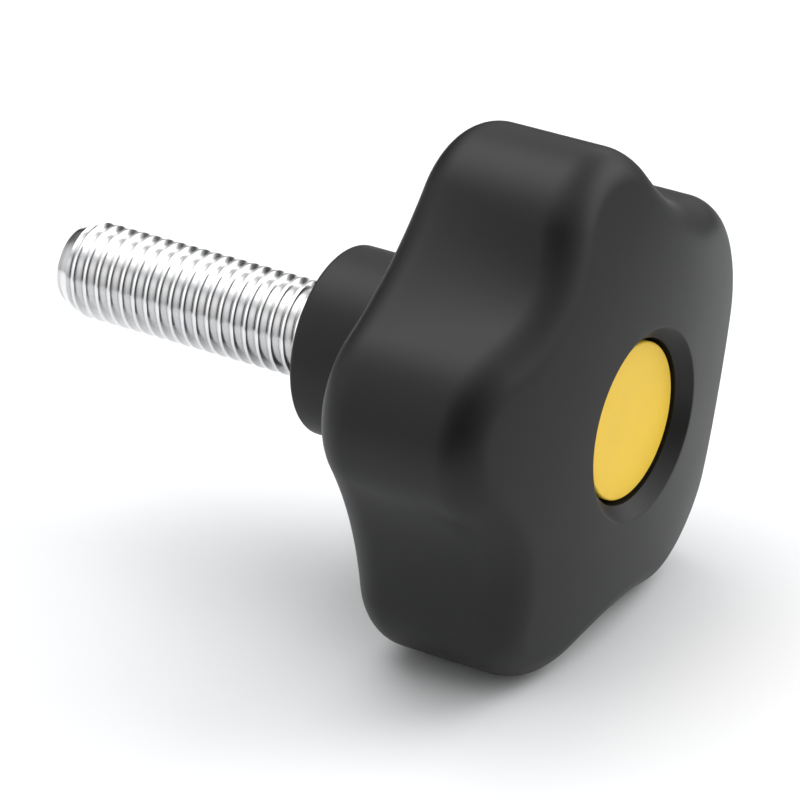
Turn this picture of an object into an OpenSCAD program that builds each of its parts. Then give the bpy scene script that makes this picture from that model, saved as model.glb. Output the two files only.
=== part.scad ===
// Lobed clamping knob: a black moulded grip, a steel screw moulded into it and a coloured cap in its face.
// +X runs along the knob's axis from the screw's tip to the domed face, and +Z points up through the
// crest of the top lobe. The origin is the middle of the hub's seat, where the knob bears on what it clamps.
// Sizes are in millimetres. Each piece is drawn about an upright axis, with the hub's seat at height 0,
// and is then laid down.

/* [Grip] */
// Number of lobes round the grip
lobes = 5; // [4:1:8]
// Diameter over the crests of the lobes
grip_d = 54.75; // [48:0.25:70]
// Radius of each lobe's crest
lobe_r = 10; // [7:0.25:13]
// Depth of a flute at the grip's back, below the line across the two lobes beside it
flute_back = 0.6; // [0.3:0.05:4]
// Depth of a flute at the top of the grip, towards which it deepens
flute_front = 2.75; // [0.3:0.05:4]
// Height of the grip from its flat back to the top of the dome
grip_h = 22.5; // [18:0.5:30]
// Radius of the domed face
dome_r = 74; // [55:1:200]
// Rounding between the side and the domed face
front_r = 4.5; // [2:0.25:6]
// Rounding between the side and the flat back
back_r = 4; // [1:0.25:5]

/* [Hub] */
// Diameter of the hub
hub_d = 19.6; // [16:0.2:26]
// Height of the hub from its seat to the grip's back
hub_h = 13; // [6:0.5:20]
// Rounding of the edge round the hub's seat
hub_edge_r = 0.5; // [0.2:0.1:1.5]
// Depth of the relief in the seat round the end of the thread
relief_h = 1; // [0.5:0.1:3]

/* [Screw] */
// Diameter of the screw over its thread
screw_d = 10; // [8:0.5:12]
// Length of thread that stands out of the hub
screw_out = 32; // [15:1:60]
// Step in from the thread's crests to the plain shank inside the moulding
shank_step = 0.5; // [0.2:0.05:1]
// Length of the chamfer on the screw's tip
tip_l = 2.4; // [0.5:0.1:4]
// Width of the chamfer on the screw's tip
tip_w = 1; // [0.4:0.1:2]
// Distance across the flats of the hexagon head
head_af = 16; // [13:0.5:20]
// Thickness of the hexagon head
head_h = 6.4; // [3:0.1:8]

/* [Cap] */
// Diameter of the cap
cap_d = 16; // [12:0.2:20]
// Thickness of the cap's disc
cap_t = 2; // [1:0.1:3]
// Rounding of the edge of the cap's face
cap_edge_r = 0.4; // [0.1:0.05:0.8]
// Width of the sloping ring round the cap
ring_w = 1.5; // [0.8:0.05:3]
// Depth of the sloping ring, from the dome to the cap's face
ring_h = 1.5; // [0.5:0.1:2.5]
// Diameter of the spigot under the cap
spigot_d = 9; // [6:0.5:11]
// Length of the spigot under the cap
spigot_l = 4; // [2:0.5:5]

/* [Clearances] */
// Gap all round between the screw and the moulding, and between the spigot and its hole
fit_gap = 0.02; // [0.01:0.01:0.1]
// Gap all round between the end of the thread and the relief in the hub's seat
relief_gap = 0.8; // [0.2:0.1:2]
// Gap all round between the cap's disc and its seat
rim_gap = 0.3; // [0.05:0.05:0.5]
// Gap under the end of the spigot
end_gap = 0.5; // [0.2:0.1:1]

/* [Hidden] */
$fn = 96;

// Steps along a lobe's crest, along a flute, over the back and front roundings, up the side, over the dome
lobe_steps = 14;
flute_steps = 10;
back_steps = 6;
front_steps = 9;
side_steps = 4;
dome_steps = 3;
// Steps in which a ball is moved to where it touches both faces that it rounds off
settle_steps = 5;
// How far a cut runs past the surface that it opens
past = 1;

grip_top = hub_h + grip_h;
dome_z = grip_top - dome_r;

// Each lobe is an arc about its own centre, and each flute is an arc that touches the two lobes beside it
half_pitch = 180 / lobes;
lobe_c = grip_d / 2 - lobe_r;
// Half the line between the centres of two lobes, and the distance of its middle from the axis
lobe_half = lobe_c * sin(half_pitch);
lobe_mid = lobe_c * cos(half_pitch);
// How much a flute deepens for each millimetre of height
deepening = (flute_front - flute_back) / grip_h;

// The sloping ring starts at the round seat and meets the dome at the recess's mouth
seat_r = cap_d / 2 + rim_gap;
recess_r = seat_r + ring_w;
recess_mouth = dome_height(recess_r);
cap_face = recess_mouth - ring_h;
cap_seat = cap_face - cap_t;

function direction(angle) = [cos(angle), sin(angle)];

// Height of the dome at a distance from the axis
function dome_height(r) = dome_z + sqrt(dome_r * dome_r - r * r);

// Places round the grip: a lobe's angle, whether the place is on the flute after it, and the share along it
places = [
    for (i = [0:lobes - 1])
        each concat(
            [for (k = [0:lobe_steps]) [2 * half_pitch * i, false, k / lobe_steps]],
            [for (k = [1:flute_steps - 1]) [2 * half_pitch * i, true, k / flute_steps]]
        )
];

// Point and outward normal of the grip's side, at a place round it and at a height
function side(place, z) =
    let (
        depth = flute_back + deepening * (z - hub_h),
        // From a flute's centre to the centres of its lobes, and the half-angle of the flute's arc
        reach = (lobe_half * lobe_half + depth * depth) / (2 * depth),
        arc = asin(lobe_half / reach)
    )
    place[1] ? on_flute(place, z, depth, reach, arc) : on_lobe(place, z, arc);

function on_lobe(place, z, arc) =
    let (
        out = direction(place[0] + (half_pitch + arc) * (2 * place[2] - 1)),
        point = lobe_c * direction(place[0]) + lobe_r * out
    )
    [[point.x, point.y, z], [out.x, out.y, 0]];

function on_flute(place, z, depth, reach, arc) =
    let (
        middle = place[0] + half_pitch,
        turn = arc * (1 - 2 * place[2]),
        out = direction(middle + turn),
        point = (lobe_mid + reach - depth) * direction(middle) - (reach - lobe_r) * out,
        // How the flute's radius and its wall change with height
        widening = deepening * (1 - pow(lobe_half / depth, 2)) / 2,
        lean = deepening * cos(turn) + widening * (1 - cos(turn)),
        size = sqrt(1 + lean * lean)
    )
    [[point.x, point.y, z], [out.x, out.y, lean] / size];

// A ball inside the grip that touches its side at a place, and also the flat back or the dome:
// its centre, the side's normal and the height where it touches the side
function back_ball(place, z, steps = settle_steps) =
    let (at = side(place, z), centre = at[0] - back_r * at[1])
    steps == 0
        ? [centre, at[1], z]
        : back_ball(place, z + hub_h + back_r - centre.z, steps - 1);

function front_ball(place, z, steps = settle_steps) =
    let (
        at = side(place, z),
        centre = at[0] - front_r * at[1],
        wanted = dome_z + sqrt(pow(dome_r - front_r, 2) - pow(centre.x, 2) - pow(centre.y, 2))
    )
    steps == 0
        ? [centre, at[1], z]
        : front_ball(place, z + wanted - centre.z, steps - 1);

back_balls = [for (place = places) back_ball(place, hub_h + back_r)];
front_balls = [for (place = places) front_ball(place, grip_top - front_r)];

// Point of a ball's surface at a share of the way from one direction to another
function rounded(centre, r, from, to, share) =
    let (bend = acos(from * to))
    centre + r * (sin((1 - share) * bend) * from + sin(share * bend) * to) / sin(bend);

// Rings of the grip, each from a share of 0 at its lower end to 1 at its upper end
function back_ring(share) =
    [for (ball = back_balls) rounded(ball[0], back_r, [0, 0, -1], ball[1], share)];

function side_ring(share) = [
    for (i = [0:len(places) - 1])
        side(places[i], back_balls[i][2] + (front_balls[i][2] - back_balls[i][2]) * share)[0]
];

function front_ring(share) = [
    for (ball = front_balls)
        let (up = (ball[0] - [0, 0, dome_z]) / (dome_r - front_r))
        rounded(ball[0], front_r, ball[1], up, share)
];

// The dome's upper end is a circle just outside the recess
function dome_ring(share) = [
    for (rim = front_ring(1))
        let (
            out = norm([rim.x, rim.y]),
            r = out + (recess_r + past - out) * share
        )
        [rim.x * r / out, rim.y * r / out, dome_height(r)]
];

// Closed skin through rings of equal length, with a point in the middle of each end
module skin(rings, low, high) {
    n = len(rings[0]);
    last = len(rings) - 1;
    points = concat([for (ring = rings) each ring], [low, high]);
    low_end = n * len(rings);
    sides = [
        for (j = [0:last - 1], i = [0:n - 1])
            let (a = n * j + i, b = n * j + (i + 1) % n)
            each [[a, a + n, b + n], [a, b + n, b]]
    ];
    ends = [
        for (i = [0:n - 1])
            let (next = (i + 1) % n)
            each [[low_end, i, next], [low_end + 1, n * last + next, n * last + i]]
    ];
    polyhedron(points, concat(sides, ends), convexity = 4);
}

module grip() {
    rings = concat(
        [for (k = [0:back_steps]) back_ring(k / back_steps)],
        [for (k = [1:side_steps - 1]) side_ring(k / side_steps)],
        [for (k = [0:front_steps]) front_ring(k / front_steps)],
        [for (k = [1:dome_steps]) dome_ring(k / dome_steps)]
    );
    skin(rings, [0, 0, hub_h], [0, 0, grip_top]);
}

// Round disc of a height, standing at height 0, with its lower edge rounded
module soft_disc(d, h, edge) {
    rotate_extrude() {
        square([d / 2 - edge, h]);
        translate([0, edge]) square([d / 2, h - edge]);
        intersection() {
            translate([d / 2 - edge, edge]) circle(edge);
            square([d / 2, edge]);
        }
    }
}

// Plain shank and hexagon head of the screw inside the moulding, with a gap all round
module moulded_in(gap) {
    cylinder(d = screw_d + 2 * (gap - shank_step), h = hub_h);
    translate([0, 0, hub_h]) cylinder(d = (head_af + 2 * gap) / cos(30), h = head_h, $fn = 6);
}

// Space for the cap: spigot hole, round seat and conical recess, cut out through the dome
module cap_space() {
    hole_r = spigot_d / 2 + fit_gap;
    hole_end = cap_seat - spigot_l - end_gap;
    flare = ring_w / ring_h;
    rotate_extrude() polygon([
        [0, hole_end],
        [hole_r, hole_end],
        [hole_r, cap_seat],
        [seat_r, cap_seat],
        [seat_r, cap_face],
        [recess_r + flare * past, recess_mouth + past],
        [0, recess_mouth + past]
    ]);
}

// Turns an upright piece so that its axis lies along +X and the crest of its first lobe points up
module lay_down() {
    rotate([0, 90, 0]) rotate([0, 0, 180]) children();
}

module knob_body() {
    color([0.2, 0.2, 0.2]) lay_down() difference() {
        union() {
            grip();
            soft_disc(hub_d, hub_h + back_r, hub_edge_r);
        }
        moulded_in(fit_gap);
        translate([0, 0, -past]) cylinder(d = screw_d + 2 * relief_gap, h = relief_h + past);
        cap_space();
    }
}

module threaded_stud() {
    color([0.8, 0.81, 0.82]) lay_down() {
        moulded_in(0);
        translate([0, 0, tip_l - screw_out]) cylinder(d = screw_d, h = screw_out - tip_l);
        translate([0, 0, -screw_out]) cylinder(d1 = screw_d - 2 * tip_w, d2 = screw_d, h = tip_l);
    }
}

module cap() {
    color([0.93, 0.77, 0.27]) lay_down() {
        translate([0, 0, cap_face]) mirror([0, 0, 1]) soft_disc(cap_d, cap_t, cap_edge_r);
        translate([0, 0, cap_seat - spigot_l]) cylinder(d = spigot_d, h = spigot_l);
    }
}

knob_body();
threaded_stud();
cap();
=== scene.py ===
# A five-lobe clamping knob: black moulded grip, zinc-plated threaded stud and yellow cap.
# Sizes are in millimetres about an upright axis, the hub's seat at height 0 and a lobe's crest at angle 0.
# Each finished mesh is then laid down along +X, in metres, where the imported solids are.
import math

import bmesh
import bpy
import numpy as np
from mathutils import Matrix, Vector


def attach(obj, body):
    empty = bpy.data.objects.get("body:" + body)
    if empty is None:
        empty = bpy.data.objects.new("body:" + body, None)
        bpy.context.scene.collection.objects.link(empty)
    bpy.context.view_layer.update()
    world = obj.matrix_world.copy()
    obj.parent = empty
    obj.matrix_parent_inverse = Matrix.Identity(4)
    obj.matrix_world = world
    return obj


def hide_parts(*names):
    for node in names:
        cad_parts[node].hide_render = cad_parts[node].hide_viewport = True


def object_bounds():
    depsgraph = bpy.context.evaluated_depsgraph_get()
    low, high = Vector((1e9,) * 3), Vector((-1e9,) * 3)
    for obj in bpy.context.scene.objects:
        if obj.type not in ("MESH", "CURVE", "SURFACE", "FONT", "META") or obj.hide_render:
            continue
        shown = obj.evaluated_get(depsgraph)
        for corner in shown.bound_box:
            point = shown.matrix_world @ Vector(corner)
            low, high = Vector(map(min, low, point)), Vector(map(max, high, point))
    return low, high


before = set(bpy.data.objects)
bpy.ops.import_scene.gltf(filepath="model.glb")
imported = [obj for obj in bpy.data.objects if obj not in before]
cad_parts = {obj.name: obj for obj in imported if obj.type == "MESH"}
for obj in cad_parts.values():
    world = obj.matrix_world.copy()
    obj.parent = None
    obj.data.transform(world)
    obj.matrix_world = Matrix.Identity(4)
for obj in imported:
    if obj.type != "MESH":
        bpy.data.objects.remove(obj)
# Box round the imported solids, in metres
cad_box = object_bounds()

MM = 0.001
# From a piece's upright drawing to its place along +X, in metres
LAY_DOWN = Matrix(((0, 0, MM, 0), (0, -MM, 0, 0), (MM, 0, 0, 0), (0, 0, 0, 1)))

# Grip. A flute deepens from the grip's back to its top
LOBES = 5
GRIP_R = 27.375
LOBE_R = 10.0
FLUTE_BACK = 0.6
FLUTE_FRONT = 2.75
HUB_H = 13.0
GRIP_TOP = 35.5
DOME_R = 74.0
FRONT_R = 4.5
BACK_R = 4.0

# Hub, with a relief in its seat round the screw
HUB_R = 9.8
HUB_EDGE_R = 0.5
HUB_ROOT_R = 0.8
RELIEF_R = 5.8
RELIEF_H = 1.0
RELIEF_LIP = 0.15

# Screw. Its thread has a flat crest with rounded edges, and a round root
SCREW_R = 5.0
SCREW_OUT = 32.0
SHANK_R = 4.5
TIP_L = 2.4
TIP_W = 1.0
HEAD_AF = 16.0
HEAD_H = 6.4
PITCH = 1.5
THREAD_DEPTH = 0.85
ROOT_ROUND = 0.15
CREST_ROUND = 0.1
# Turn from a crest or root to a flank
FLANK_TURN = math.radians(60)
# Height where the thread has run out, and how long it takes to
THREAD_END = 0.5
RUN_OUT = 0.6
# Height above the roots over which the painted shade in the thread's roots fades to the plating's colour
ROOT_SHADE_FADE = 0.22

# Cap, and the sloping ring round it with its rounded mouth and a foot that stands off the cap
CAP_R = 8.0
CAP_T = 2.0
CAP_EDGE_R = 0.25
RIM_GAP = 0.3
RING_W = 1.5
RING_H = 1.5
MOUTH_ROUND = 0.25
RING_FOOT = 0.15
SPIGOT_R = 4.5
SPIGOT_L = 4.0
SPIGOT_BEVEL = 0.3
END_GAP = 0.5
FIT_GAP = 0.02

# Fineness of the meshes
LOBE_STEPS = 44
FLUTE_STEPS = 24
BACK_STEPS = 6
BACK_ROUND_STEPS = 14
SIDE_STEPS = 12
FRONT_ROUND_STEPS = 18
DOME_STEPS = 14
MOUTH_STEPS = 8
RING_STEPS = 4
HUB_ROUND_STEPS = 6
HUB_STEPS = 7
CAP_TURN = 128
CAP_ROUND_STEPS = 8
CAP_STEPS = 8
THREAD_TURN = 96
THREAD_ROUND_STEPS = 4
SETTLE_STEPS = 9
# Edges with a sharper bend than this, in degrees, are shaded as edges
MOULDED_EDGE = 32
THREAD_EDGE = 40

HALF_PITCH = math.pi / LOBES
LOBE_C = GRIP_R - LOBE_R
LOBE_HALF = LOBE_C * math.sin(HALF_PITCH)
LOBE_MID = LOBE_C * math.cos(HALF_PITCH)
DEEPENING = (FLUTE_FRONT - FLUTE_BACK) / (GRIP_TOP - HUB_H)
DOME_Z = GRIP_TOP - DOME_R
SEAT_R = CAP_R + RIM_GAP
RECESS_R = SEAT_R + RING_W


def dome_height(r):
    """Height of the dome at a distance from the axis."""
    return DOME_Z + np.sqrt(DOME_R**2 - r**2)


RECESS_MOUTH = float(dome_height(RECESS_R))
CAP_FACE = RECESS_MOUTH - RING_H
CAP_SEAT = CAP_FACE - CAP_T


def steps(low, high, count):
    """The ends of a range and the places between them, in equal steps."""
    return np.linspace(low, high, count + 1)


def direction(angle):
    return np.stack([np.cos(angle), np.sin(angle)], axis=-1)


def at_height(flat, z):
    """A flat ring lifted to a height, or to a height for each of its points."""
    return np.column_stack([flat, np.broadcast_to(z, len(flat))])


# Places round the grip, along each lobe's crest and then along the flute after it
LOBE_SHARE = steps(0, 1, LOBE_STEPS)
FLUTE_SHARE = steps(0, 1, FLUTE_STEPS)[1:-1]
SHARE = np.tile(np.concatenate([LOBE_SHARE, FLUTE_SHARE]), LOBES)
ON_FLUTE = np.tile(np.arange(LOBE_STEPS + FLUTE_STEPS) > LOBE_STEPS, LOBES)
ARC_AT = HALF_PITCH * (2 * np.repeat(np.arange(LOBES), LOBE_STEPS + FLUTE_STEPS) + ON_FLUTE)


def grip_side(z):
    """Points and outward normals of the grip's side at each place round it, at a height for each."""
    depth = FLUTE_BACK + DEEPENING * (z - HUB_H)
    reach = (LOBE_HALF**2 + depth**2) / (2 * depth)
    flute_arc = np.arcsin(LOBE_HALF / reach)
    turn = np.where(ON_FLUTE, flute_arc * (1 - 2 * SHARE), (HALF_PITCH + flute_arc) * (2 * SHARE - 1))
    out = direction(ARC_AT + turn)
    centre = np.where(ON_FLUTE, LOBE_MID + reach - depth, LOBE_C)
    radius = np.where(ON_FLUTE, LOBE_R - reach, LOBE_R)
    flat = centre[:, None] * direction(ARC_AT) + radius[:, None] * out
    widening = DEEPENING * (1 - (LOBE_HALF / depth) ** 2) / 2
    lean = np.where(ON_FLUTE, DEEPENING * np.cos(turn) + widening * (1 - np.cos(turn)), 0)
    normal = np.column_stack([out, lean]) / np.sqrt(1 + lean**2)[:, None]
    return at_height(flat, z), normal


def settled_balls(r, wanted):
    """Balls inside the grip that touch its side, each moved in height until it touches another face too."""
    z = np.full(len(SHARE), (HUB_H + GRIP_TOP) / 2)
    for _ in range(SETTLE_STEPS):
        point, normal = grip_side(z)
        centre = point - r * normal
        z = z + wanted(centre) - centre[:, 2]
    return centre, normal, z


def rounded(centre, r, first, second, share):
    """Points of balls' surfaces at a share of the way from one direction to another."""
    bend = np.arccos((first * second).sum(axis=1))[:, None]
    turned = np.sin((1 - share) * bend) * first + np.sin(share * bend) * second
    return centre + r * turned / np.sin(bend)


def quarter(count):
    """Sine and cosine of each step of a quarter turn."""
    turn = steps(0, math.pi / 2, count)
    return list(zip(np.sin(turn), np.cos(turn)))


def skin(name, rings, low, high, sharp_angle):
    """Closed mesh through rings of equal length, with a point in the middle of each end, laid along +X."""
    n = len(rings[0])
    points = np.concatenate(rings + [np.array([low, high])])
    laid = np.column_stack([points[:, 2], -points[:, 1], points[:, 0]]) * MM
    faces = []
    for j in range(len(rings) - 1):
        for i in range(n):
            a = n * j + i
            b = n * j + (i + 1) % n
            faces.append((a, b, b + n, a + n))
    low_end = n * len(rings)
    last = n * (len(rings) - 1)
    for i in range(n):
        after = (i + 1) % n
        faces.append((low_end, after, i))
        faces.append((low_end + 1, last + i, last + after))
    return finished_mesh(name, laid, faces, sharp_angle)


def finished_mesh(name, points, faces, sharp_angle):
    mesh = bpy.data.meshes.new(name)
    mesh.from_pydata(points.tolist(), [], faces)
    return finished_piece(name, mesh, sharp_angle)


def finished_form(name, form, sharp_angle):
    mesh = bpy.data.meshes.new(name)
    form.to_mesh(mesh)
    form.free()
    return finished_piece(name, mesh, sharp_angle)


def finished_piece(name, mesh, sharp_angle):
    mesh.validate()
    mesh.polygons.foreach_set("use_smooth", [True] * len(mesh.polygons))
    mesh.set_sharp_from_angle(angle=math.radians(sharp_angle))
    mesh.update()
    piece = bpy.data.objects.new(name, mesh)
    bpy.context.collection.objects.link(piece)
    return piece


def hexagon_ring(angle, across_flats):
    """Points of a hexagon, with a corner at angle 0, in the directions of a ring."""
    from_flat = np.mod(angle, math.pi / 3) - math.pi / 6
    return direction(angle) * (across_flats / 2 / np.cos(from_flat))[:, None]


def body_rings():
    """Rings of the moulding, from the screw head's pocket, round the outside, to the cap's hole."""
    middle = grip_side(np.full(len(SHARE), HUB_H + BACK_R))[0]
    angle = np.arctan2(middle[:, 1], middle[:, 0])
    out = direction(angle)
    rings = []

    def circle(r, z):
        rings.append(at_height(out * r, z))

    pocket = hexagon_ring(angle, HEAD_AF + 2 * FIT_GAP)
    rings.append(at_height(pocket, HUB_H + HEAD_H))
    rings.append(at_height(pocket, HUB_H))
    circle(SHANK_R + FIT_GAP, HUB_H)
    circle(SHANK_R + FIT_GAP, RELIEF_H)
    circle(RELIEF_R, RELIEF_H)
    circle(RELIEF_R, RELIEF_LIP)
    circle(RELIEF_R + RELIEF_LIP, 0)
    # Seat, rounded edge, side and root of the hub
    for s, c in quarter(HUB_ROUND_STEPS):
        circle(HUB_R - HUB_EDGE_R * (1 - s), HUB_EDGE_R * (1 - c))
    for z in steps(HUB_EDGE_R, HUB_H - HUB_ROOT_R, HUB_STEPS)[1:]:
        circle(HUB_R, z)
    for s, c in quarter(HUB_ROUND_STEPS)[1:]:
        circle(HUB_R + HUB_ROOT_R * (1 - c), HUB_H - HUB_ROOT_R * (1 - s))
    # Flat back out to the rounding, then the rounding up to the side
    ball, normal, back_z = settled_balls(BACK_R, lambda centre: HUB_H + BACK_R)
    down = np.broadcast_to([0.0, 0.0, -1.0], normal.shape)
    root = out * (HUB_R + HUB_ROOT_R)
    for share in steps(0, 1, BACK_STEPS)[1:-1]:
        rings.append(at_height(root + (ball[:, :2] - root) * share, HUB_H))
    for share in steps(0, 1, BACK_ROUND_STEPS):
        rings.append(rounded(ball, BACK_R, down, normal, share))
    # Side up to where a ball that touches the side and the dome leaves the front rounding
    reach = DOME_R - FRONT_R
    ball, normal, front_z = settled_balls(
        FRONT_R, lambda centre: DOME_Z + np.sqrt(reach**2 - (centre[:, :2] ** 2).sum(axis=1))
    )
    up = (ball - np.array([0, 0, DOME_Z])) / reach
    for share in steps(0, 1, SIDE_STEPS)[1:-1]:
        rings.append(grip_side(back_z + (front_z - back_z) * share)[0])
    for share in steps(0, 1, FRONT_ROUND_STEPS):
        rings.append(rounded(ball, FRONT_R, normal, up, share))
    # Dome in to the recess's mouth, with the mouth's edge rounded over to the sloping ring
    rim = rings[-1]
    rim_r = np.hypot(rim[:, 0], rim[:, 1])
    slope = math.atan2(RING_H, RING_W)
    fall = math.asin(RECESS_R / DOME_R)
    cut = MOUTH_ROUND * math.tan((slope + fall) / 2)
    mouth_r = RECESS_R + cut * math.cos(fall)
    out = rim[:, :2] / rim_r[:, None]
    for share in steps(0, 1, DOME_STEPS)[1:-1]:
        r = rim_r + (mouth_r - rim_r) * share
        rings.append(at_height(out * r[:, None], dome_height(r)))
    mouth_z = RECESS_MOUTH - cut * math.sin(fall)
    centre_r = mouth_r - MOUTH_ROUND * math.sin(fall)
    centre_z = mouth_z - MOUTH_ROUND * math.cos(fall)
    for lean in steps(fall, -slope, MOUTH_STEPS):
        circle(centre_r + MOUTH_ROUND * math.sin(lean), centre_z + MOUTH_ROUND * math.cos(lean))
    cone_r = RECESS_R - cut * math.cos(slope)
    cone_z = RECESS_MOUTH - cut * math.sin(slope)
    foot_r = SEAT_R + RING_FOOT
    foot_z = CAP_FACE + RING_FOOT * RING_H / RING_W
    for share in steps(0, 1, RING_STEPS)[1:]:
        circle(cone_r + (foot_r - cone_r) * share, cone_z + (foot_z - cone_z) * share)
    # Seat and hole of the cap
    circle(foot_r, CAP_SEAT)
    circle(SPIGOT_R + FIT_GAP, CAP_SEAT)
    circle(SPIGOT_R + FIT_GAP, CAP_SEAT - SPIGOT_L - END_GAP)
    return rings


def make_body():
    pocket_end = (0, 0, HUB_H + HEAD_H)
    hole_end = (0, 0, CAP_SEAT - SPIGOT_L - END_GAP)
    return skin("body_moulding", body_rings(), pocket_end, hole_end, MOULDED_EDGE)


def make_cap():
    """Press-in disc with a rounded edge and a spigot, drawn from the spigot's end up to the face."""
    out = direction(np.linspace(0, 2 * math.pi, CAP_TURN, endpoint=False))
    rings = []

    def circle(r, z):
        rings.append(at_height(out * r, z))

    circle(SPIGOT_R - SPIGOT_BEVEL, CAP_SEAT - SPIGOT_L)
    circle(SPIGOT_R, CAP_SEAT - SPIGOT_L + SPIGOT_BEVEL)
    circle(SPIGOT_R, CAP_SEAT)
    circle(CAP_R, CAP_SEAT)
    for s, c in quarter(CAP_ROUND_STEPS):
        circle(CAP_R - CAP_EDGE_R * (1 - c), CAP_FACE - CAP_EDGE_R * (1 - s))
    for r in steps(CAP_R - CAP_EDGE_R, 0, CAP_STEPS)[1:-1]:
        circle(r, CAP_FACE)
    return skin("yellow_cap", rings, (0, 0, CAP_SEAT - SPIGOT_L), (0, 0, CAP_FACE), MOULDED_EDGE)


def thread_profile():
    """Heights within one pitch and radii of the thread, from one root to the next."""
    root_r = SCREW_R - THREAD_DEPTH
    root_turn = steps(0, FLANK_TURN, THREAD_ROUND_STEPS)
    root_t = ROOT_ROUND * np.sin(root_turn)
    root = root_r + ROOT_ROUND * (1 - np.cos(root_turn))
    crest_turn = steps(FLANK_TURN, 0, THREAD_ROUND_STEPS)
    crest = SCREW_R - CREST_ROUND * (1 - np.cos(crest_turn))
    start = root_t[-1] + (crest[0] - root[-1]) / math.tan(FLANK_TURN)
    crest_t = start + CREST_ROUND * (math.sin(FLANK_TURN) - np.sin(crest_turn))
    half_t = np.concatenate([root_t, [(root_t[-1] + crest_t[0]) / 2], crest_t])
    half_r = np.concatenate([root, [(root[-1] + crest[0]) / 2], crest])
    t = np.concatenate([half_t, PITCH - half_t[::-1]])[:-1]
    r = np.concatenate([half_r, half_r[::-1]])[:-1]
    return t, r


def thread_columns():
    """Points and faces of a right-hand thread: each column of points is a pitch higher after one turn."""
    t, r = thread_profile()
    count = len(t)
    # Some turns more at each end, where the columns are cut off square later
    turns = math.ceil((SCREW_OUT + THREAD_END) / PITCH) + 3
    height = np.concatenate([t + PITCH * k for k in range(turns)]) - SCREW_OUT - 2 * PITCH
    radius = np.tile(r, turns)
    rows = len(height)
    points = []
    faces = []
    for i in range(THREAD_TURN):
        z = height + PITCH * i / THREAD_TURN
        chamfer = SCREW_R - TIP_W * np.maximum(1 - (z + SCREW_OUT) / TIP_L, 0)
        run_out = SHANK_R + (SCREW_R - SHANK_R) * np.clip((THREAD_END - z) / RUN_OUT, 0, 1)
        run_out = np.minimum(np.maximum(radius, SHANK_R), run_out)
        wide = np.where(z > THREAD_END - RUN_OUT, run_out, np.minimum(radius, chamfer))
        turn = 2 * math.pi * i / THREAD_TURN
        points.append(np.column_stack([wide * math.cos(turn), wide * math.sin(turn), z]))
        lift = count if i == THREAD_TURN - 1 else 0
        after = (i + 1) % THREAD_TURN
        for low in range(rows - 1 - count):
            near = i * rows + low
            far = after * rows + low + lift
            faces.append((near, far, far + 1, near + 1))
    return np.concatenate(points), faces


def make_stud():
    """Screw with its thread cut off square at the tip, and its shank and hexagon head in the moulding."""
    points, faces = thread_columns()
    form = bmesh.new()
    corners = [form.verts.new(point) for point in points]
    for face in faces:
        form.faces.new([corners[i] for i in face])
    for level, keep in ((-SCREW_OUT, 1), (THREAD_END, -1)):
        parts = form.verts[:] + form.edges[:] + form.faces[:]
        bmesh.ops.bisect_plane(
            form, geom=parts, dist=1e-5, plane_co=(0, 0, level), plane_no=(0, 0, keep), clear_inner=True
        )
    loose = [vert for vert in form.verts if not vert.link_faces]
    bmesh.ops.delete(form, geom=loose, context="VERTS")
    # The tip is closed flat, and the other end is drawn out to the shank and the head
    ends = [edge for edge in form.edges if edge.is_boundary]
    tip = [edge for edge in ends if edge.verts[0].co.z < 0]
    rim = [edge for edge in ends if edge.verts[0].co.z > 0]
    for across_flats, z in ((0, HUB_H), (HEAD_AF, HUB_H), (HEAD_AF, HUB_H + HEAD_H)):
        grown = bmesh.ops.extrude_edge_only(form, edges=rim)["geom"]
        rim = [part for part in grown if isinstance(part, bmesh.types.BMEdge)]
        for vert in (part for part in grown if isinstance(part, bmesh.types.BMVert)):
            angle = np.array([math.atan2(vert.co.y, vert.co.x)])
            flat = hexagon_ring(angle, across_flats)[0] if across_flats else SHANK_R * direction(angle)[0]
            vert.co = (flat[0], flat[1], z)
    bmesh.ops.edgeloop_fill(form, edges=tip)
    bmesh.ops.edgeloop_fill(form, edges=rim)
    bmesh.ops.recalc_face_normals(form, faces=form.faces[:])
    bmesh.ops.transform(form, matrix=LAY_DOWN, verts=form.verts[:])
    return finished_form("steel_stud", form, THREAD_EDGE)


body = make_body()
cap = make_cap()
stud = make_stud()


class Wire:
    """The output of a shader node. Arithmetic on it adds Math nodes."""

    def __init__(self, nodes, socket):
        self.nodes = nodes
        self.socket = socket

    def maths(self, operation, first, second):
        return self.nodes.add("ShaderNodeMath", {"operation": operation}, {0: first, 1: second})

    def __add__(self, other):
        return self.maths("ADD", self, other)

    __radd__ = __add__

    def __sub__(self, other):
        return self.maths("SUBTRACT", self, other)

    def __rsub__(self, other):
        return self.maths("SUBTRACT", other, self)

    def __mul__(self, other):
        return self.maths("MULTIPLY", self, other)

    __rmul__ = __mul__


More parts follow.
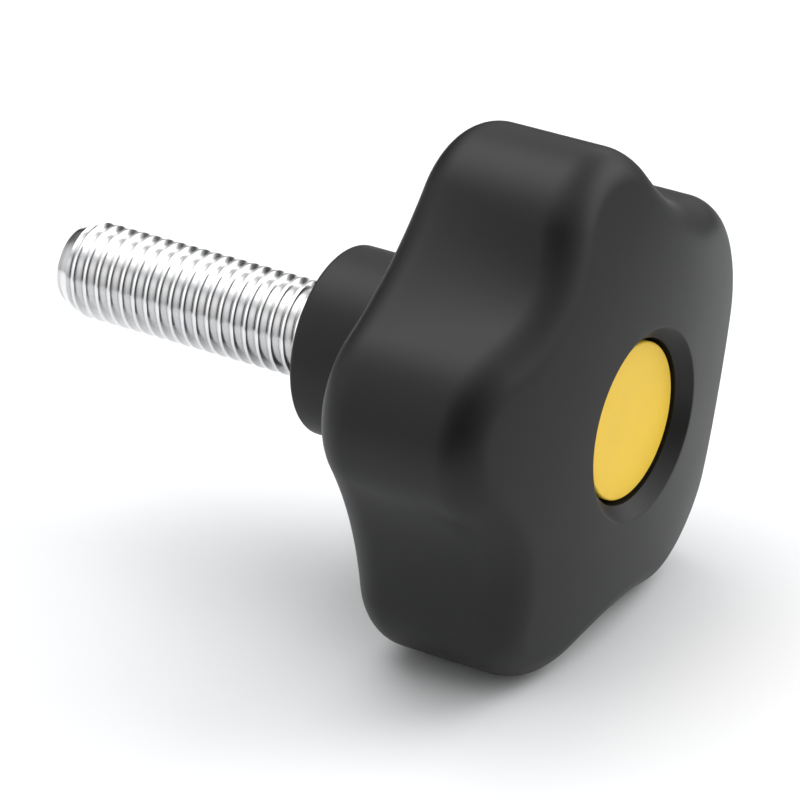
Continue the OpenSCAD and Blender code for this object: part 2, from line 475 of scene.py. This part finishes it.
class Nodes:
    """A node tree that is written as expressions."""

    def __init__(self, tree):
        self.tree = tree
        tree.nodes.clear()

    def add(self, kind, settings=None, inputs=None, out=0):
        """One node: its settings first, then the values or links of its sockets. Gives one output."""
        node = self.tree.nodes.new(kind)
        for name, value in (settings or {}).items():
            setattr(node, name, value)
        for key, value in (inputs or {}).items():
            if isinstance(value, Wire):
                self.tree.links.new(value.socket, node.inputs[key])
            else:
                node.inputs[key].default_value = value
        return Wire(self, node.outputs[out]) if node.outputs else None

    def noise(self, place, scale, detail):
        """Noise of a number of lumps to the metre."""
        return self.add("ShaderNodeTexNoise", {}, {"Vector": place, "Scale": scale, "Detail": detail})

    def spread(self, value, low, high, to_low, to_high, course="LINEAR"):
        """A value's range from low to high, carried over to another range and held at its ends."""
        inputs = {"Value": value, "From Min": low, "From Max": high, "To Min": to_low, "To Max": to_high}
        return self.add("ShaderNodeMapRange", {"interpolation_type": course, "clamp": True}, inputs)

    def blend(self, share, first, second):
        """Two colours mixed by a share."""
        return self.add("ShaderNodeMix", {"data_type": "RGBA"}, {0: share, 6: first, 7: second}, out=2)

    def patchy(self, patches, first, second):
        """A colour that drifts from one to another with patches of noise."""
        return self.blend(self.spread(patches, 0.3, 0.7, 0.0, 1.0), first, second)

    def bump(self, height, strength, distance):
        """Surface relief, its distance in metres."""
        inputs = {"Strength": strength, "Distance": distance, "Height": height}
        return self.add("ShaderNodeBump", {}, inputs)


def new_finish(name):
    material = bpy.data.materials.new(name)
    material.use_nodes = True
    nodes = Nodes(material.node_tree)
    place = nodes.add("ShaderNodeTexCoord", out="Object")
    return material, nodes, place


def close_finish(nodes, inputs):
    surface = nodes.add("ShaderNodeBsdfPrincipled", {}, inputs)
    nodes.add("ShaderNodeOutputMaterial", {}, {"Surface": surface})


def black_moulding():
    """Satin black thermoplastic with a fine eroded grain."""
    material, nodes, place = new_finish("black_moulding")
    grain = nodes.noise(place, 5200, 2.0)
    patches = nodes.noise(place, 60, 3.0)
    colour = nodes.patchy(patches, (0.0060, 0.0060, 0.0062, 1.0), (0.0074, 0.0074, 0.0074, 1.0))
    roughness = nodes.spread(patches + 0.35 * grain, 0.4, 0.95, 0.43, 0.49)
    bump = nodes.bump(grain, 0.12, 0.00003)
    inputs = {"Base Color": colour, "Roughness": roughness, "Specular IOR Level": 0.30, "Normal": bump}
    close_finish(nodes, inputs)
    return material


def zinc_plate():
    """Bright zinc plating, a little uneven in tone and polish, with painted shade darkening the thread's
    roots.
    """
    material, nodes, place = new_finish("zinc_plate")
    patches = nodes.noise(place, 350, 4.0)
    fine = nodes.noise(place, 4200, 3.0)
    plate = nodes.patchy(patches, (0.74, 0.745, 0.755, 1.0), (0.78, 0.78, 0.78, 1.0))
    # Distance from the screw's axis, and along it. The flat end of the tip stays bright
    across = nodes.add("ShaderNodeVectorMath", {"operation": "MULTIPLY"}, {0: place, 1: (0, 1, 1)})
    radius = nodes.add("ShaderNodeVectorMath", {"operation": "LENGTH"}, {0: across}, out="Value")
    along = nodes.add("ShaderNodeSeparateXYZ", {}, {0: place}, out="X")
    root_r = (SCREW_R - THREAD_DEPTH) * MM
    # Painted shade: the plating is grey down in the thread's roots and fades to its own colour towards the
    # crests, except on the tip's flat end
    bright = nodes.spread(radius, root_r, root_r + ROOT_SHADE_FADE * MM, 0.0, 1.0, "SMOOTHSTEP")
    end = nodes.spread(along, (0.02 - SCREW_OUT) * MM, (0.1 - SCREW_OUT) * MM, 1.0, 0.0)
    colour = nodes.blend(bright + end, (0.58, 0.58, 0.59, 1.0), plate)
    roughness = nodes.spread(patches + 0.2 * fine, 0.4, 0.9, 0.18, 0.24)
    bump = nodes.bump(fine, 0.02, 0.00001)
    inputs = {"Base Color": colour, "Metallic": 1.0, "Roughness": roughness, "Normal": bump}
    close_finish(nodes, inputs)
    return material


def yellow_plastic():
    """Matte yellow thermoplastic with a fine grain."""
    material, nodes, place = new_finish("yellow_plastic")
    grain = nodes.noise(place, 6000, 2.0)
    patches = nodes.noise(place, 140, 3.0)
    colour = nodes.patchy(patches, (0.74, 0.486, 0.0325, 1.0), (0.78, 0.52, 0.039, 1.0))
    roughness = nodes.spread(patches + 0.3 * grain, 0.4, 0.9, 0.42, 0.5)
    bump = nodes.bump(grain, 0.1, 0.00002)
    inputs = {"Base Color": colour, "Roughness": roughness, "Specular IOR Level": 0.3, "Normal": bump}
    close_finish(nodes, inputs)
    return material


def pale_floor():
    """Matte white card."""
    material, nodes, place = new_finish("pale_floor")
    drift = nodes.noise(place, 3, 2.0)
    colour = nodes.blend(drift, (0.755, 0.763, 0.772, 1.0), (0.768, 0.776, 0.785, 1.0))
    close_finish(nodes, {"Base Color": colour, "Roughness": 0.8})
    return material


body.data.materials.append(black_moulding())
stud.data.materials.append(zinc_plate())
cap.data.materials.append(yellow_plastic())

for piece, node, slot in (
    (body, "knob_body", "moulding"),
    (stud, "threaded_stud", "zinc_steel"),
    (cap, "cap", "cap_plastic"),
):
    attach(piece, "root")
    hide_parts(node)

# White card under the two lobes that the knob lies on, in metres
FLOOR_HALF = 0.18
floor_z = cad_box[0][2]
corners = np.array([(-1, -1), (1, -1), (1, 1), (-1, 1)]) * FLOOR_HALF
floor = finished_mesh("floor", at_height(corners, floor_z), [(0, 1, 2, 3)], MOULDED_EDGE)
floor.data.materials.append(pale_floor())


# Soft boxes round the studio: elevation, angle from +X towards +Y, half-width, all in degrees,
# and brightness in the middle. The room is dark on the camera's side.
SOFT_BOXES = {
    "key": (60, 160, 45, 1.10),
    "key_middle": (60, 160, 28, 1.85),
    "overhead": (86, 0, 45, 1.27),
    "back_wall": (36, 110, 50, 0.58),
    "low_back": (14, 85, 32, 0.58),
    "low_right": (16, 50, 38, 2.80),
    "right": (34, 15, 40, 0.90),
    "front_right": (22, 350, 32, 0.25),
    "left_high": (44, 222, 38, 0.60),
}
# Sines of the elevations between which the dark skirting below the soft boxes ends
SKIRTING = (0.055, 0.19)
# White cards that stand in front of the skirting, in the same terms as the soft boxes
WHITE_CARDS = {
    "left": (16, 232, 38, 1.12),
    "beyond_the_tip": (8, 188, 30, 0.78),
    "back": (8, 108, 24, 0.30),
    "right": (3, 22, 26, 1.20),
}


def towards_light(elevation, angle):
    """Direction from the knob to a light, from its elevation and angle in degrees."""
    level = math.cos(math.radians(elevation))
    return (*(level * direction(math.radians(angle))), math.sin(math.radians(elevation)))


def soft_box(nodes, place, box):
    """Light of one soft box, fading from its middle to its edge."""
    elevation, angle, half_width, brightness = box
    towards = towards_light(elevation, angle)
    facing = nodes.add(
        "ShaderNodeVectorMath", {"operation": "DOT_PRODUCT"}, {0: place, 1: towards}, out="Value"
    )
    return nodes.spread(facing, math.cos(math.radians(half_width)), 1.0, 0.0, brightness, "SMOOTHSTEP")


def studio_world():
    """Soft boxes over a dark skirting. The camera itself sees plain white round the floor."""
    world = bpy.data.worlds.new("studio")
    world.use_nodes = True
    bpy.context.scene.world = world
    nodes = Nodes(world.node_tree)
    place = nodes.add("ShaderNodeTexCoord", out="Generated")
    boxes = sum(soft_box(nodes, place, box) for box in SOFT_BOXES.values())
    cards = sum(soft_box(nodes, place, card) for card in WHITE_CARDS.values())
    height = nodes.add("ShaderNodeSeparateXYZ", {}, {0: place}, out="Z")
    light = boxes * nodes.spread(height, SKIRTING[0], SKIRTING[1], 0.0, 1.0, "SMOOTHSTEP") + cards
    seen = nodes.add("ShaderNodeLightPath", out="Is Camera Ray")
    inputs = {"Color": (1.0, 1.0, 1.0, 1.0), "Strength": light + seen * (1 - light)}
    back = nodes.add("ShaderNodeBackground", {}, inputs)
    nodes.add("ShaderNodeOutputWorld", {}, {"Surface": back})


studio_world()

# Broad window behind on the right, which lights the floor and the cap but gives no shine
WINDOW_ELEVATION = 48
WINDOW_ANGLE = 54
WINDOW_WIDTH = math.radians(36)
WINDOW_POWER = 0.92

window_data = bpy.data.lights.new("window", "SUN")
window_data.angle = WINDOW_WIDTH
window_data.energy = WINDOW_POWER
window = bpy.data.objects.new("window", window_data)
to_window = Vector(towards_light(WINDOW_ELEVATION, WINDOW_ANGLE))
window.rotation_euler = to_window.to_track_quat("Z", "Y").to_euler()
window.visible_glossy = False
bpy.context.collection.objects.link(window)

# Camera: turn and tilt of the view, where it stands, and its lens for a square picture
VIEW_TURN = math.radians(32.291)
VIEW_TILT = math.radians(28.243)
VIEW_ROLL = math.radians(-0.518)
CAMERA_AT = Vector((251.37, -386.91, 240.85)) * MM
LENS = 234.18
SENSOR = 36.0

camera_data = bpy.data.cameras.new("camera")
camera_data.sensor_width = SENSOR
camera_data.lens = LENS
camera_data.clip_start = 0.01
camera = bpy.data.objects.new("camera", camera_data)
bpy.context.collection.objects.link(camera)
turn = Matrix.Rotation(VIEW_TURN, 4, "Z")
tilt = Matrix.Rotation(math.pi / 2 - VIEW_TILT, 4, "X")
roll = Matrix.Rotation(VIEW_ROLL, 4, "Z")
camera.matrix_world = Matrix.Translation(CAMERA_AT) @ turn @ tilt @ roll
bpy.context.scene.camera = camera
bpy.context.scene.view_settings.view_transform = "Standard"
